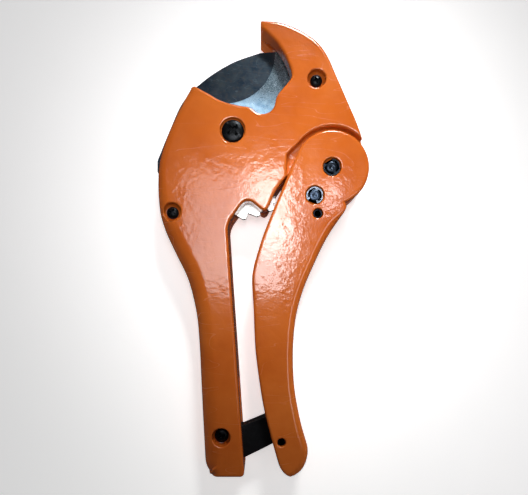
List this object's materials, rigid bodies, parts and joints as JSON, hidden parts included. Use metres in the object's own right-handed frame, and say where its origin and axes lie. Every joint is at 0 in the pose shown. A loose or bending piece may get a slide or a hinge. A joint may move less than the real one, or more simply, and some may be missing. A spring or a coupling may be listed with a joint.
{
  "type": "ratchet pipe cutter",
  "caption": "Hand-held ratchet cutter for plastic pipe: hooked jaw, toothed swinging blade, forked movable handle, and a latch that ties the handles together.",
  "frame": {"origin": "bottom centre of the bounding box; the tool lies flat on its rear side", "axes": "+Y along the tool from the handles to the jaw, +X to the movable handle's side, +Z out of the front (screw-head) side"},
  "size_m": [0.0994, 0.21, 0.02],
  "materials": {
    "orange_paint": "glossy orange enamel on die-cast metal",
    "blade_steel": "ground tool steel",
    "pin_steel": "turned steel",
    "clip_steel": "bright stamped steel",
    "spring_steel": "drawn spring wire",
    "black_oxide": "black oxide",
    "latch_black": "satin black"
  },
  "bodies": {
    "body": {"body_front": "orange_paint", "body_rear": "orange_paint", "blade_screw": "black_oxide", "blade_nut": "black_oxide", "blade_bushing": "pin_steel", "blade_spring": "spring_steel", "body_screw_top": "black_oxide", "body_screw_left": "black_oxide", "holding_pawl_pin": "pin_steel", "holding_pawl_spring": "spring_steel", "handle_pin": "pin_steel", "handle_clip_front": "clip_steel", "handle_clip_rear": "clip_steel", "handle_spring": "spring_steel", "latch_screw": "black_oxide"},
    "blade": {"blade": "blade_steel"},
    "handle": {"movable_handle": "orange_paint", "pawl_pin": "pin_steel", "pawl_clip_front": "clip_steel", "pawl_clip_rear": "clip_steel", "pawl_spring": "spring_steel", "spring_anchor_pin": "pin_steel", "latch_catch_pin": "pin_steel"},
    "drive_pawl": {"drive_pawl": "blade_steel"},
    "holding_pawl": {"holding_pawl": "blade_steel"},
    "latch": {"latch": "latch_black"}
  },
  "joints": [
    {"name": "blade_pivot", "type": "hinge", "parent": "body", "child": "blade", "pos_m": [-0.0132, 0.05455, 0.01], "axis": [0, 0, 1], "range_deg": [0, 78]},
    {"name": "handle_pivot", "type": "hinge", "parent": "body", "child": "handle", "pos_m": [0.0325, 0.03775, 0.01], "axis": [0, 0, 1], "range_deg": [0, 25]},
    {"name": "drive_pawl_pivot", "type": "hinge", "parent": "handle", "child": "drive_pawl", "pos_m": [0.0246, 0.02475, 0.01], "axis": [0, 0, 1], "range_deg": [-41, 0]},
    {"name": "holding_pawl_pivot", "type": "hinge", "parent": "body", "child": "holding_pawl", "pos_m": [-0.0227, 0.00755, 0.01], "axis": [0, 0, 1], "range_deg": [0, 12], "stiffness_Nm_per_rad": 0.005, "springref_deg": -11.46},
    {"name": "latch_pivot", "type": "hinge", "parent": "body", "child": "latch", "pos_m": [-0.01855, -0.08675, 0.01], "axis": [0, 0, 1], "range_deg": [-6, 50]}
  ],
  "couplings": [
    {"joint": "drive_pawl_pivot", "follows": "handle_pivot", "ratio": -1.62}
  ]
}
